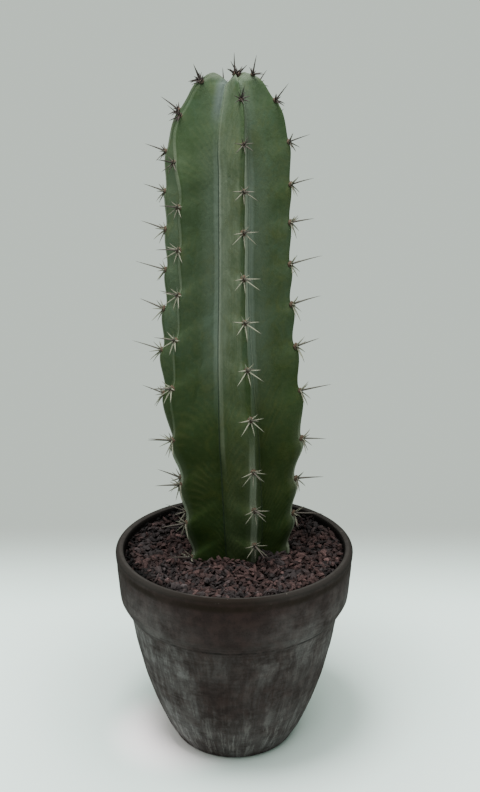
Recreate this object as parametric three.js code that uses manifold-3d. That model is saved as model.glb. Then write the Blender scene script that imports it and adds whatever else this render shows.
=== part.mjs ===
// A columnar cactus, Stenocereus pruinosus, in a round clay pot topped with broken lava gravel.
// Units are millimetres, +Z is up, and the origin is the centre of the pot's foot.
// The front of the plant, with its leading rib, looks along -Y.

import * as THREE from "three";
import { mergeVertices } from "three/addons/utils/BufferGeometryUtils.js";
import Module from "manifold-3d";

const { clamp, degToRad, euclideanModulo, lerp, mapLinear, smoothstep } = THREE.MathUtils;

// Driving dimensions of the pot

const POT_HEIGHT = 168;
const RIM_RADIUS = 95;
const RIM_WALL = 7;
const BAND_TAPER = 3;
const BODY_WALL = 8;
const FLOOR = 10;
const FOOT_RADIUS = 48.3;
const DRAIN_RADIUS = 9;
const LIP_STEPS = 4;
const POT_SIDES = 44;

// The pot's outer wall, as [radius, height], from the rounded foot to the crease below the band
const BODY_OUTLINE = [
  [51.7, 5],
  [57.4, 15],
  [64.4, 32],
  [73, 58],
  [80.5, 90],
  [83.3, 107],
];

// The band round the mouth, as [radius, height], from its lower edge upwards
const BAND_OUTLINE = [
  [89.5, 122],
  [92.3, 127],
  [94.1, 150],
];

// Driving dimensions of what fills the pot. CLEARANCE is the gap between it and the pot,
// and HOLE_GROWTH is how much wider than the stem the hole is that the stem stands in.

const CLEARANCE = 0.4;
const HOLE_GROWTH = 1;
const MIX_TOP = 147;
const GRAVEL_LEVEL = 157;
const HEAP_CENTRE = new THREE.Vector2(18, -26);
const HEAP_HEIGHT = 7;
const HEAP_SPREAD = 36;
const BANK_HEIGHT = 7;
const BANK_RADII = [56, 86];
const CHIP = 6;
const CHIP_RELIEF = 1.6;
const CHIP_SHIFT = 0.6;
const GRAVEL_SEED = 41;

// Driving dimensions of the stem

const STEM_FOOT = new THREE.Vector2(3, 12);
const STEM_LEAN = -8;
const LEAN_HEIGHTS = [150, 350];
const CROWN_LEAN = 2.5;
const CROWN_LEAN_HEIGHTS = [470, 515];
const GROOVE_SHARES = [0.6, 0.46];
const GROOVE_HEIGHTS = [170, 320];
const GROOVE_DROP = 7;
const GROOVE_DROP_HEIGHTS = [420, 500];
const GROOVE_DROP_RADIUS = 10;
const CREST_ROUNDNESS = 0.3;
const CREST_STEPS = 2000;

// The crest line of a rib, as [radius, height], from the sunken growing point to the buried foot
const CREST_LINE = [
  [0, 524],
  [9, 531],
  [16, 531.5],
  [24.5, 525.5],
  [32, 516],
  [40, 503],
  [45.5, 487],
  [48, 468],
  [48.6, 440],
  [48.8, 410],
  [50, 375],
  [53, 342],
  [55.8, 310],
  [56.2, 262],
  [51.5, 238],
  [48, 208],
  [45.5, 183],
  [42, 160],
  [41, 140],
  [30, 122],
  [0, 116],
];

// Distance along the crest line from the growing point to each areole of the leading rib.
// The last places are under the gravel and carry no spines.
const AREOLE_ARCS = [16, 41, 74, 106, 135, 168, 200, 235, 273, 316, 350, 381, 408, 438];
const BURIED_PLACES = 2;
const GROWN_PLACES = AREOLE_ARCS.length - BURIED_PLACES;

// Each rib's heading in degrees to the right of the front, at the crown and at the foot,
// and how far its areoles run behind the leading rib's there, as a share of their spacing.
// Above a bend of 1, most of the change between the two comes near the foot.
// Twist is a last turn in degrees at the very top, and dip is how much lower the rib ends there.
const RIBS = [
  { crown: 14.5, foot: 17.5, early: 0, late: 0, bend: 1, twist: 0, dip: 0 },
  { crown: 73, foot: 77, early: 0.15, late: -0.42, bend: 1, twist: 0, dip: 0 },
  { crown: 132, foot: 135, early: -0.35, late: -0.15, bend: 1, twist: 0, dip: 0 },
  { crown: 192.5, foot: 190, early: 0.35, late: 0.3, bend: 1, twist: 0, dip: 8 },
  { crown: 252.5, foot: 247, early: 0.45, late: -0.05, bend: 1, twist: 0, dip: 0 },
  { crown: 315, foot: 299, early: 0.45, late: 0.8, bend: 4, twist: -16, dip: 0 },
];
const HEADING_HEIGHTS = [180, 400];
const TWIST_HEIGHTS = [465, 515];
const DIP_HEIGHTS = [490, 525];

// Positions between a rib's crest, 0, and its groove, 1, that get a column of vertices
const RIB_COLUMNS = [-0.56, -0.2, 0, 0.2, 0.56, 1];

// Positions between one areole and the next that get a row of vertices: where the crest swells
// most, halfway down, and in the notch above the next areole
const KNOB_PEAK = 0.16;
const KNOB_NOTCH = 0.86;
const NODE_ROWS = [KNOB_PEAK, 0.5, KNOB_NOTCH];
const APEX_ROWS = [-0.7, -0.3];
const FOOT_ROWS = [0, 1, 1.5];

// Swelling of the crest below each areole, in the knobbly lower stem and the smooth upper stem
const KNOB_LOWER = 3.4;
const KNOB_UPPER = 1.5;
const KNOB_HEIGHTS = [340, 430];
const KNOB_FREE_RADIUS = 12;

// Driving dimensions of the areoles, each a felted cushion drawn out into a star of spines

const CUSHION_RADIUS = 2.1;
const CUSHION_TOP_RADIUS = 1.1;
const CUSHION_HEIGHT = 1.1;
const CUSHION_EDGE = 0.3;
const CUSHION_ROOT = 3;
const CREST_WRAP = 0.26;
const SPINE_SEED = 7;
const SPINE_JITTER = 14;
const SPINE_LENGTHS = [0.85, 1.15];
const YOUNG_SPINES = 0.62;
const YOUNG_PLACES = 6;
const GRAVEL_MISS = 1;

// The spines: turn from straight up and lift off the skin in degrees, and length
const CENTRAL_SPINE = { turn: 0, lift: 78, length: 23 };
const RADIAL_SPINES = [
  { turn: 30, lift: 36, length: 9 },
  { turn: 82, lift: 26, length: 11.5 },
  { turn: 130, lift: 24, length: 14 },
  { turn: 180, lift: 28, length: 13 },
  { turn: 230, lift: 24, length: 14 },
  { turn: 278, lift: 26, length: 11.5 },
  { turn: 330, lift: 36, length: 9 },
];

// Colours and finishes

const clay = new THREE.MeshStandardMaterial({ color: 0x3b3533, roughness: 0.9, metalness: 0 });
const peat = new THREE.MeshStandardMaterial({ color: 0x2a201a, roughness: 1, metalness: 0 });
const lava = new THREE.MeshStandardMaterial({ color: 0x4a3536, roughness: 0.95, metalness: 0 });
const skin = new THREE.MeshStandardMaterial({ color: 0x3f5538, roughness: 0.55, metalness: 0 });

const wasm = await Module();
wasm.setup();

// A number generator that gives the same draws between 0 and 1 on every run:
// a linear congruential generator with 32-bit state
function seededDraws(seed) {
  const [multiplier, increment, states] = [1664525, 1013904223, 2 ** 32];
  let state = seed;
  return () => {
    state = (state * multiplier + increment) % states;
    return state / states;
  };
}

// A geometry with nothing but positions, so that vertices at one place can be merged
function bareGeometry(geometry) {
  const bare = geometry.clone();
  bare.deleteAttribute("normal");
  bare.deleteAttribute("uv");
  return bare;
}

// A closed three.js geometry as a solid that can be joined and cut
function solidFrom(geometry) {
  const merged = mergeVertices(bareGeometry(geometry));
  return new wasm.Manifold(
    new wasm.Mesh({
      numProp: 3,
      vertProperties: merged.attributes.position.array,
      triVerts: new Uint32Array(merged.index.array),
    }),
  );
}

// A joined or cut solid as a three.js geometry
function geometryFrom(solid) {
  const mesh = solid.getMesh();
  const geometry = new THREE.BufferGeometry();
  geometry.setAttribute("position", new THREE.BufferAttribute(mesh.vertProperties, 3));
  geometry.setIndex(new THREE.BufferAttribute(mesh.triVerts, 1));
  geometry.computeVertexNormals();
  return geometry;
}

// A closed skin from a top point, rows of vertices that each run once round it, and a bottom point
function skinFromRows(top, rows, bottom) {
  const round = rows[0].length;
  const points = [top, ...rows.flat(), bottom];
  const last = points.length - 1;
  const faces = [];
  for (let i = 0; i < round; i++) {
    const next = (i + 1) % round;
    faces.push(0, 1 + i, 1 + next);
    faces.push(last, last - round + next, last - round + i);
    for (let row = 0; row + 1 < rows.length; row++) {
      const upper = 1 + row * round;
      const lower = upper + round;
      faces.push(upper + i, lower + i, lower + next);
      faces.push(upper + i, lower + next, upper + next);
    }
  }
  const geometry = new THREE.BufferGeometry().setFromPoints(points);
  geometry.setIndex(faces);
  return geometry;
}

// A solid of revolution about +Z from a profile of [radius, height]
function turned(profile) {
  const points = profile.map(([r, z]) => new THREE.Vector2(r, z));
  return new THREE.LatheGeometry(points, POT_SIDES).rotateX(Math.PI / 2);
}

// The pot

const lipRadius = RIM_WALL / 2;
const lipCentre = POT_HEIGHT - lipRadius;
const mouthRadius = RIM_RADIUS - RIM_WALL;

// The inner wall, as [radius, height], from the corner of the floor to the lip
function innerWall() {
  const [, corner, ...body] = BODY_OUTLINE;
  return [
    [corner[0] - BODY_WALL, FLOOR],
    ...body.map(([r, z]) => [r - BODY_WALL, z]),
    [mouthRadius - BAND_TAPER, BAND_OUTLINE[0][1]],
    [mouthRadius, lipCentre],
  ];
}

function innerRadius(height) {
  const wall = innerWall();
  const level = Math.min(height, lipCentre);
  const above = wall.findIndex(([, z]) => z >= level);
  const [[r0, z0], [r1, z1]] = [wall[above - 1], wall[above]];
  return mapLinear(level, z0, z1, r0, r1);
}

// One closed profile: foot, curved wall, band, rounded lip, inner wall, floor and drain hole
function potGeometry() {
  const lip = new THREE.EllipseCurve(RIM_RADIUS - lipRadius, lipCentre, lipRadius, lipRadius, 0, Math.PI);
  const lipPoints = lip.getPoints(LIP_STEPS).map((point) => point.toArray());
  return turned([
    [DRAIN_RADIUS, 0],
    [FOOT_RADIUS, 0],
    ...BODY_OUTLINE,
    ...BAND_OUTLINE,
    ...lipPoints,
    ...innerWall().reverse().slice(1),
    [DRAIN_RADIUS, FLOOR],
    [DRAIN_RADIUS, 0],
  ]);
}

// The stem's surface, as a formula of its place along a rib and across it

const crest = new THREE.SplineCurve(CREST_LINE.map(([r, z]) => new THREE.Vector2(r, z)));
crest.arcLengthDivisions = CREST_STEPS;
const crestLength = crest.getLength();
const placeArcs = [0, ...AREOLE_ARCS, crestLength];

// Distance from the growing point at a place, where place 0 is the first areole and -1 the growing point
function arcAt(place) {
  const from = clamp(Math.floor(place), -1, AREOLE_ARCS.length - 1);
  return lerp(placeArcs[from + 1], placeArcs[from + 2], place - from);
}

function crestShare(place) {
  return clamp(arcAt(place) / crestLength, 0, 1);
}

// How far a rib's areoles run behind the leading rib's at a place, in spacings:
// fading to nothing at the growing point and at the buried foot
function delay(rib, place) {
  const share = lerp(rib.early, rib.late, clamp(place / (GROWN_PLACES - 1), 0, 1) ** rib.bend);
  const fade = clamp(Math.min(place + 1, (AREOLE_ARCS.length - place) / BURIED_PLACES), 0, 1);
  return share * fade;
}

function heading(rib, height) {
  const turn = lerp(rib.foot, rib.crown, smoothstep(height, ...HEADING_HEIGHTS));
  return degToRad(turn + rib.twist * smoothstep(height, ...TWIST_HEIGHTS));
}

// The crest's swelling: highest just below an areole, then falling to a notch above the next one
function knob(place, height) {
  const down = euclideanModulo(place - KNOB_PEAK, 1);
  const fall = KNOB_NOTCH - KNOB_PEAK;
  const phase = down < fall ? down / fall : 1 + (down - fall) / (1 - fall);
  const swelling = lerp(KNOB_LOWER, KNOB_UPPER, smoothstep(height, ...KNOB_HEIGHTS));
  return (swelling / 2) * Math.cos(Math.PI * phase);
}

function leanAt(height) {
  const back = CROWN_LEAN * smoothstep(height, ...CROWN_LEAN_HEIGHTS);
  return STEM_LEAN * smoothstep(height, ...LEAN_HEIGHTS) + back;
}

// The radius at a groove as a share of the radius at a crest: ribs are lower near the foot
function grooveShare(height) {
  return lerp(...GROOVE_SHARES, smoothstep(height, ...GROOVE_HEIGHTS));
}

// A point of the skin: across runs from 0 at the crest to 1 or -1 at the grooves on either side.
// The section is a hyperbola, so the crest is round and the flanks are straight.
function skinPoint(index, place, across, growth = 0) {
  const rib = RIBS[index];
  const side = Math.sign(across) || 1;
  const neighbour = RIBS[euclideanModulo(index + side, RIBS.length)];
  const share = Math.abs(across);
  const top = crest.getPointAt(crestShare(place + delay(rib, place)));
  const valley = crest.getPointAt(crestShare(place));
  const angle = heading(rib, valley.y);
  const gap = euclideanModulo(side * (heading(neighbour, valley.y) - angle), 2 * Math.PI);
  const swelling = top.x > KNOB_FREE_RADIUS ? knob(place, top.y) : 0;
  const crestRadius = top.x + swelling + growth;
  const grooveRadius = grooveShare(valley.y) * valley.x + growth;
  const dome = smoothstep(valley.y, ...GROOVE_DROP_HEIGHTS) * clamp(valley.x / GROOVE_DROP_RADIUS, 0, 1);
  const curve = Math.hypot(share, CREST_ROUNDNESS) - CREST_ROUNDNESS;
  const fall = curve / (Math.hypot(1, CREST_ROUNDNESS) - CREST_ROUNDNESS);
  const out = lerp(crestRadius, grooveRadius * Math.cos(gap / 2), fall);
  const aside = across * grooveRadius * Math.sin(gap / 2);
  const crestHeight = top.y - rib.dip * smoothstep(top.y, ...DIP_HEIGHTS);
  const height = lerp(crestHeight, valley.y - GROOVE_DROP * dome, share);
  return new THREE.Vector3(
    out * Math.sin(angle) + aside * Math.cos(angle) + leanAt(height),
    -out * Math.cos(angle) + aside * Math.sin(angle),
    height,
  );
}

// The ribbed column without its spines. With growth it is the plain hole that the stem stands in.
function stemGeometry(growth = 0) {
  const grown = Array.from({ length: GROWN_PLACES }, (_, node) => NODE_ROWS.map((row) => node + row));
  const places = [...APEX_ROWS, ...grown.flat(), ...FOOT_ROWS.map((row) => GROWN_PLACES + row)];
  const rows = places.map((place) =>
    RIBS.flatMap((_, index) => RIB_COLUMNS.map((across) => skinPoint(index, place, across, growth))),
  );
  const [apexHeight, footHeight] = [CREST_LINE.at(0)[1], CREST_LINE.at(-1)[1]];
  const apex = new THREE.Vector3(leanAt(apexHeight), 0, apexHeight + growth);
  const foot = new THREE.Vector3(leanAt(footHeight), 0, footHeight - growth);
  return skinFromRows(apex, rows, foot);
}

// An areole's own frame: its place on the crest, and the directions out, up the rib and across it
function areoleFrame(index, place) {
  const position = skinPoint(index, place, 0);
  const tangent = crest.getTangentAt(crestShare(place + delay(RIBS[index], place)));
  const angle = heading(RIBS[index], position.z);
  const radial = new THREE.Vector3(Math.sin(angle), -Math.cos(angle), 0);
  const outward = radial.clone().multiplyScalar(-tangent.y).setZ(tangent.x);
  const upward = radial.clone().multiplyScalar(-tangent.x).setZ(-tangent.y);
  return { position, outward, upward, sideways: new THREE.Vector3().crossVectors(upward, outward) };
}

// The top of the gravel in the pot's own frame: level, with a heap against the foot of the stem
// and a bank that rises to the pot's wall
function gravelHeight(x, y) {
  const away = Math.hypot(x - HEAP_CENTRE.x, y - HEAP_CENTRE.y) / HEAP_SPREAD;
  const bank = BANK_HEIGHT * smoothstep(Math.hypot(x, y), ...BANK_RADII);
  return GRAVEL_LEVEL + HEAP_HEIGHT * Math.exp(-(away ** 2)) + bank;
}

// A point beside an areole: turned from straight up, so far across the skin and so far out of it
function besideAreole(frame, turn, reach, out) {
  return frame.position
    .clone()
    .addScaledVector(frame.upward, reach * Math.cos(turn))
    .addScaledVector(frame.sideways, reach * Math.sin(turn))
    .addScaledVector(frame.outward, out);
}

// A spine's tip, strayed a little at random and kept clear of the gravel
function spineTip(frame, spine, growth, draw) {
  const stray = () => degToRad(SPINE_JITTER * (draw() - 0.5));
  const turn = degToRad(spine.turn) + stray();
  const lift = degToRad(spine.lift) + stray();
  const length = growth * spine.length * lerp(...SPINE_LENGTHS, draw());
  const tip = besideAreole(frame, turn, length * Math.cos(lift), length * Math.sin(lift));
  const ground = gravelHeight(tip.x + STEM_FOOT.x, tip.y + STEM_FOOT.y);
  return tip.setZ(Math.max(tip.z, ground + CHIP_RELIEF + GRAVEL_MISS));
}

// One areole's cushion and spines as a single star: a radial spine runs out between each two
// neighbouring corners of the cushion, and the central spine stands on the cushion's top
function areoleGeometry(frame, place, draw) {
  const count = RADIAL_SPINES.length;
  const growth = lerp(YOUNG_SPINES, 1, smoothstep(place, 0, YOUNG_PLACES));
  const points = [besideAreole(frame, 0, 0, -CUSHION_ROOT), spineTip(frame, CENTRAL_SPINE, growth, draw)];
  RADIAL_SPINES.forEach((spine, i) => {
    const next = RADIAL_SPINES[(i + 1) % count];
    const turn = degToRad(spine.turn);
    const cornerTurn = turn + degToRad(euclideanModulo(next.turn - spine.turn, 360)) / 2;
    const wrap = CREST_WRAP * (CUSHION_RADIUS * Math.sin(cornerTurn)) ** 2;
    points.push(besideAreole(frame, cornerTurn, CUSHION_RADIUS, CUSHION_EDGE - wrap));
    points.push(besideAreole(frame, turn, CUSHION_TOP_RADIUS, CUSHION_HEIGHT));
    points.push(spineTip(frame, spine, growth, draw));
  });
  const [root, centre, corner, top, tip] = points.keys();
  const faces = [];
  for (let i = 0; i < count; i++) {
    const here = 3 * i;
    const last = 3 * ((i + count - 1) % count);
    faces.push(corner + last, corner + here, root);
    faces.push(corner + here, corner + last, tip + here);
    faces.push(corner + last, top + here, tip + here);
    faces.push(top + here, corner + here, tip + here);
    faces.push(top + last, top + here, corner + last);
    faces.push(top + here, top + last, centre);
  }
  const star = new THREE.BufferGeometry().setFromPoints(points);
  star.setIndex(faces);
  return star;
}

// The whole plant: the ribbed column joined with the stars on the crests of its ribs
function plantGeometry() {
  const draw = seededDraws(SPINE_SEED);
  let plant = solidFrom(stemGeometry());
  for (let index = 0; index < RIBS.length; index++) {
    for (let place = 0; place < GROWN_PLACES; place++) {
      plant = plant.add(solidFrom(areoleGeometry(areoleFrame(index, place), place, draw)));
    }
  }
  return geometryFrom(plant);
}

// The hole that the stem stands in, in the pot's own frame
function holeSolid() {
  return solidFrom(stemGeometry(HOLE_GROWTH).translate(STEM_FOOT.x, STEM_FOOT.y, 0));
}

// The potting mix: everything between the pot's floor and the gravel
function mixGeometry() {
  const bottom = FLOOR + CLEARANCE;
  const wall = innerWall().filter(([, z]) => z < MIX_TOP);
  const body = turned([
    [0, bottom],
    ...wall.map(([r, z]) => [r - CLEARANCE, Math.max(z, bottom)]),
    [innerRadius(MIX_TOP) - CLEARANCE, MIX_TOP],
    [0, MIX_TOP],
  ]);
  return geometryFrom(solidFrom(body).subtract(holeSolid()));
}

// A square slab whose top is broken into chips by shifting the vertices of its grid
function chippedSlab(bottom) {
  const draw = seededDraws(GRAVEL_SEED);
  const cells = Math.ceil((2 * RIM_RADIUS) / CHIP);
  const block = new THREE.BoxGeometry(cells * CHIP, cells * CHIP, 1, cells, cells, 1);
  const slab = mergeVertices(bareGeometry(block));
  const grid = slab.attributes.position;
  for (let i = 0; i < grid.count; i++) {
    if (grid.getZ(i) < 0) {
      grid.setZ(i, bottom);
    } else {
      const x = grid.getX(i) + CHIP * CHIP_SHIFT * (draw() - 0.5);
      const y = grid.getY(i) + CHIP * CHIP_SHIFT * (draw() - 0.5);
      grid.setXYZ(i, x, y, gravelHeight(x, y) + CHIP_RELIEF * (2 * draw() - 1));
    }
  }
  return slab;
}

// The gravel: a chipped slab cut to the inside of the pot and round the stem
function gravelGeometry() {
  const bottom = MIX_TOP + CLEARANCE;
  const ceiling = GRAVEL_LEVEL + HEAP_HEIGHT + BANK_HEIGHT + CHIP_RELIEF + CLEARANCE;
  const wall = [bottom, ceiling].map((z) => [innerRadius(z) - CLEARANCE, z]);
  const inside = turned([[0, bottom], ...wall, [0, ceiling]]);
  const slab = solidFrom(chippedSlab(bottom - CLEARANCE));
  return geometryFrom(slab.intersect(solidFrom(inside)).subtract(holeSolid()));
}

// The scene: the pot, what fills it, and the plant standing in it

function part(name, geometry, material) {
  const mesh = new THREE.Mesh(geometry, material);
  mesh.name = name;
  return mesh;
}

const filling = new THREE.Group();
filling.add(part("potting_mix", mixGeometry(), peat), part("lava_gravel", gravelGeometry(), lava));

const plant = new THREE.Group();
plant.position.set(STEM_FOOT.x, STEM_FOOT.y, 0);
plant.add(part("cactus_stem", plantGeometry(), skin));

const pottedCactus = new THREE.Group();
pottedCactus.add(part("pot", potGeometry(), clay), filling, plant);

export default pottedCactus;
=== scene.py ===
"""A columnar cactus, Stenocereus pruinosus, in a washed clay pot topped with broken lava gravel.

The tables are in millimetres, as in the part's own source, and every mesh is in metres.
+Z is up, and the front of the plant, with its leading rib, looks along -Y.
"""

import math
from itertools import combinations

import bpy
import numpy as np
from bpy.props import FloatProperty, FloatVectorProperty, IntProperty, PointerProperty
from bpy.types import Operator, Panel, PropertyGroup
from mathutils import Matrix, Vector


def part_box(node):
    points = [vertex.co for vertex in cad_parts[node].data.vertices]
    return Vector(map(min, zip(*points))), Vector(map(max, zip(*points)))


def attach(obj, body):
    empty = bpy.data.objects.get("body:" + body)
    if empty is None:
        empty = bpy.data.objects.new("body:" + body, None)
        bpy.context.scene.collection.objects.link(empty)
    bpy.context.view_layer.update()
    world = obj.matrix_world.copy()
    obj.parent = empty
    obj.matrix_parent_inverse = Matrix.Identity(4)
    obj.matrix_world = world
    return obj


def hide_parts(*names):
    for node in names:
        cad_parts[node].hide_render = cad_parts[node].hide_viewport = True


bl_info = {
    "name": "Potted stenocereus",
    "version": (1, 0, 0),
    "blender": (4, 5, 0),
    "location": "3D View > Sidebar > Cactus",
    "description": "Builds a ribbed column cactus in a washed clay pot with lava gravel",
    "category": "Add Mesh",
}

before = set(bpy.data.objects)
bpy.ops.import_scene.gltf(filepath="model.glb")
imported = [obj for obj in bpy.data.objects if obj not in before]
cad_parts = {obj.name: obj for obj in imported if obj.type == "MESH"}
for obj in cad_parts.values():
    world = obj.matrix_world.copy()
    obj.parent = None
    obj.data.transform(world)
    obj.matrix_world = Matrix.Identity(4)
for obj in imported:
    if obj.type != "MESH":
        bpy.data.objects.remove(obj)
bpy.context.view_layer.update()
POT_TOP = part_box("pot")[1]

MM = 0.001

# The pot's outer wall as (radius, height): the body, the slope under its band, and the band

BODY_OUTLINE = [
    (48.3, 0), (50.1, 2), (51.7, 5), (54.2, 9), (57.4, 15), (60.3, 22), (64.4, 32),
    (68.6, 44), (73, 58), (77, 74), (80.5, 90), (82.5, 102), (83.3, 107),
]
SLOPE_OUTLINE = [(83.3, 107), (84.6, 112), (86.6, 117), (89.5, 122), (92.1, 127)]
BAND_OUTLINE = [(92.1, 127), (93.4, 140), (94.3, 154), (95, 164.5)]
INNER_OUTLINE = [
    (88, 164.5), (85, 122), (75.3, 107), (72.5, 90), (65, 58), (56.4, 32), (49.4, 15), (49.4, 10),
]
RIM_RADIUS = 95
POT_HEIGHT = 168
FLOOR = 10
DRAIN_RADIUS = 9
CREASE_HEIGHT = 118.6
POT_STEPS = 168

# The filling: the heap's place and width, the heights where the gravel meets the stem and the pot's
# wall and how far its fines keep clear of them, the fines' underside and how far their top lies
# under the gravel's level, the place of the stem's foot, and the steps of the fines round and out

HEAP_CENTRE = (18, -26)
HEAP_SPREAD = 36
COLLAR_HEIGHT = 158
WALL_HEIGHT = 157
STEM_GAP = 0.3
WALL_GAP = 0.4
BED_FLOOR = 149
BED_DROP = 2.6
STEM_FOOT = (3, 12)
FINES_STEPS = 200
FINES_ROWS = 34

# The crest line of a rib as (radius, height), from the sunken growing point to the buried foot

CREST_LINE = [
    (0, 524), (9, 531), (16, 531.5), (24.5, 525.5), (32, 516), (40, 503), (45.5, 487),
    (48, 468), (48.6, 440), (48.8, 410), (50, 375), (53, 342), (55.8, 310), (56.2, 262),
    (51.5, 238), (48, 208), (45.5, 183), (42, 160), (41, 140), (30, 122), (0, 116),
]
APEX_HEIGHT = CREST_LINE[0][1]
BASE_HEIGHT = CREST_LINE[-1][1]
CREST_ROUND = 0.3

# Distance along the crest line from the growing point to each areole of the leading rib, how many
# of them are buried, and the skin's points from one to the next and from a crest to a groove

AREOLE_ARCS = [16, 41, 74, 106, 135, 168, 200, 235, 273, 316, 350, 381, 408, 438]
BURIED_PLACES = 2
PLACES = len(AREOLE_ARCS)
GROWN_PLACES = PLACES - BURIED_PLACES
ROWS_PER_PLACE = 26
STEPS_PER_FLANK = 19

# Each rib: heading in degrees right of the front at the crown and at the foot, how far its areoles
# run behind the leading rib's there, as a share of their spacing, how late that change comes, its
# last turn at the very top and how much lower it ends there

RIBS = [
    (14.5, 17.5, 0, 0, 1, 0, 0),
    (73, 77, 0.15, -0.42, 1, 0, 0),
    (132, 135, -0.35, -0.15, 1, 0, 0),
    (192.5, 190, 0.35, 0.3, 1, 0, 8),
    (252.5, 247, 0.45, -0.05, 1, 0, 0),
    (315, 299, 0.45, 0.8, 4, -16, 0),
]
CROWN_HEADING, FOOT_HEADING, EARLY, LATE, BEND, TWIST, DIP = np.array(RIBS).T

# How thick the bloom lies on each rib, as a share: along the groove on its left and over its left
# flank, then the same on its right
# The flank shares also scale painted light along the flanks, and on the right the groove share less
# the flank share marks where the flank is painted in shade.

BLOOM = np.array([
    (1, 1, 1, 1), (1, 0, 0.6, 0.3), (0.6, 0.4, 0.6, 0.5),
    (0.6, 0.5, 0.6, 0.3), (0.6, 0.4, 0.2, 0.2), (0.2, 0.1, 1, 0.08),
])

# The spines of one areole: turn from straight up, lift off the skin, both in degrees, and length.
# The first is the central spine.

SPINES = np.array([
    (0, 78, 23), (30, 36, 9), (82, 26, 11.5), (130, 24, 14),
    (180, 28, 13), (230, 24, 14), (278, 26, 11.5), (330, 36, 9),
])
SPINE_SEED = 7
SPINE_JITTER = 14
SPINE_CLEARANCE = 2.6

# An areole's felt: its height as a share of its width, and its number of hairs

FELT_DOME = 0.72
HAIRS = 26


def paint(red, green, blue):
    """A colour given as display values from 0 to 255, as the linear values that shaders use."""
    share = np.array([red, green, blue]) / 255
    linear = np.where(share <= 0.04045, share / 12.92, ((share + 0.055) / 1.055) ** 2.4)
    return tuple(float(v) for v in linear)


def setting(kind, **fixed):
    """A maker of properties of one kind, from a name, a description, a default and other limits."""

    def made(name, description, default, **other):
        return kind(name=name, description=description, default=default, **{**fixed, **other})

    return made


colour = setting(FloatVectorProperty, size=3, min=0, max=1, subtype="COLOR")
length = setting(FloatProperty, min=0, max=1, unit="LENGTH", precision=4)
share = setting(FloatProperty, min=0, max=1, subtype="FACTOR")
power = setting(FloatProperty, min=0, unit="POWER")
angle = setting(FloatProperty, subtype="ANGLE")
focal_length = setting(FloatProperty, min=1, subtype="DISTANCE_CAMERA")
number = setting(IntProperty, min=0)


class PotSettings(PropertyGroup):
    """Sizes and colours of the pot."""

    rim_radius: length("Rim radius", "Radius of the band at the mouth", POT_TOP.x)
    height: length("Height", "Height of the pot", POT_TOP.z)
    clay: colour("Clay", "Dark stained clay", paint(34, 26, 25))
    bare_clay: colour("Bare clay", "Redder clay where the stain is thin", paint(46, 33, 31))
    wash: colour("Wash", "Chalky wash brushed over the clay", paint(112, 109, 109))
    chalk: colour("Chalk", "Thick runs of the wash and worn edges", paint(146, 141, 138))
    wash_cover: share("Wash cover", "How much of the clay the wash covers", 0.5)


class GravelSettings(PropertyGroup):
    """Sizes and colours of the potting mix and the gravel."""

    level: length("Level", "Height of the gravel's surface", 157 * MM)
    heap: length("Heap", "Height of the heap against the stem", 7 * MM)
    bank: length("Bank", "Rise of the gravel towards the pot's wall", 7 * MM)
    grain: length("Grain", "Usual size of a piece of gravel", 4.2 * MM)
    seed: number("Seed", "Another number scatters the gravel anew", 41)
    red: colour("Red lava", "Iron-red lava", paint(62, 47, 45))
    grey: colour("Grey lava", "Ash-grey lava", paint(46, 41, 41))
    soil: colour("Potting mix", "Damp peat and bark", paint(34, 25, 19))


class StemSettings(PropertyGroup):
    """Sizes and colours of the ribbed stem."""

    groove_low: share("Lower groove", "Groove radius as a share of the crest's, near the foot", 0.6)
    groove_high: share("Upper groove", "Groove radius as a share of the crest's, higher up", 0.46)
    lower_knobs: length("Lower knobs", "Swelling of the crest below an areole, low down", 3.4 * MM)
    upper_knobs: length("Upper knobs", "Swelling of the crest below an areole, high up", 1.5 * MM)
    lean: length("Lean", "How far the stem leans to the right", -8 * MM, min=-0.1, max=0.1)
    young: colour("Young skin", "Skin near the crown", paint(40, 52, 35))
    grown: colour("Grown skin", "Skin halfway up", paint(46, 57, 39))
    aged: colour("Aged skin", "Skin of the lower half", paint(41, 52, 31))
    old: colour("Old skin", "Skin of the lowest third", paint(33, 42, 20))
    foot: colour("Foot skin", "Skin just above the gravel", paint(29, 41, 19))
    bloom: colour("Bloom", "Waxy grey bloom beside the grooves", paint(122, 134, 124))
    # Laid only on the left flanks, this beige colour is partly bloom and partly painted light from
    # the left.
    veil_and_painted_light: colour("Veil", "Thin beige bloom beside the crests", paint(132, 136, 118))
    # The crest edge colour is partly a real pale waxy line and partly a painted highlight.
    edge: colour("Crest edge", "Pale line along the shoulders of a crest", paint(142, 146, 132))


class SpineSettings(PropertyGroup):
    """Sizes and colours of the areoles."""

    central_radius: length("Central thickness", "Radius of the central spine at its foot", 0.8 * MM)
    radial_radius: length("Radial thickness", "Radius of the other spines at their feet", 0.72 * MM)
    felt_width: length("Felt width", "Half the width of an areole's felt", 2.2 * MM)
    pale: colour("Pale spine", "Full-grown radial spines", paint(104, 105, 90))
    brown: colour("Brown spine", "Central spines and the feet of all", paint(57, 52, 49))
    dark: colour("Dark spine", "Young spines at the crown", paint(36, 31, 29))
    felt: colour("Felt", "Felt of the areoles", paint(57, 44, 37))


class StageSettings(PropertyGroup):
    """The floor, the light and the camera."""

    floor: colour("Floor", "Pale floor", paint(202, 218, 212))
    backdrop: colour("Backdrop", "Light grey surroundings", (0.69, 0.775, 0.7))
    key: power("Key light", "Power of the lamp on the left", 43)
    front: power("Front light", "Power of the softer lamp", 27)
    side: power("Side light", "Power of the lamp far left", 3)
    distance: length("Camera distance", "How far the camera stands in front", 0.85, min=0.1, max=10)
    camera_height: length("Camera height", "Height of the camera", 0.58114, max=10)
    pitch: angle("Pitch", "How far the camera looks down", math.radians(18.7375))
    lens: focal_length("Lens", "Focal length", 53.07)


# Shaders


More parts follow.
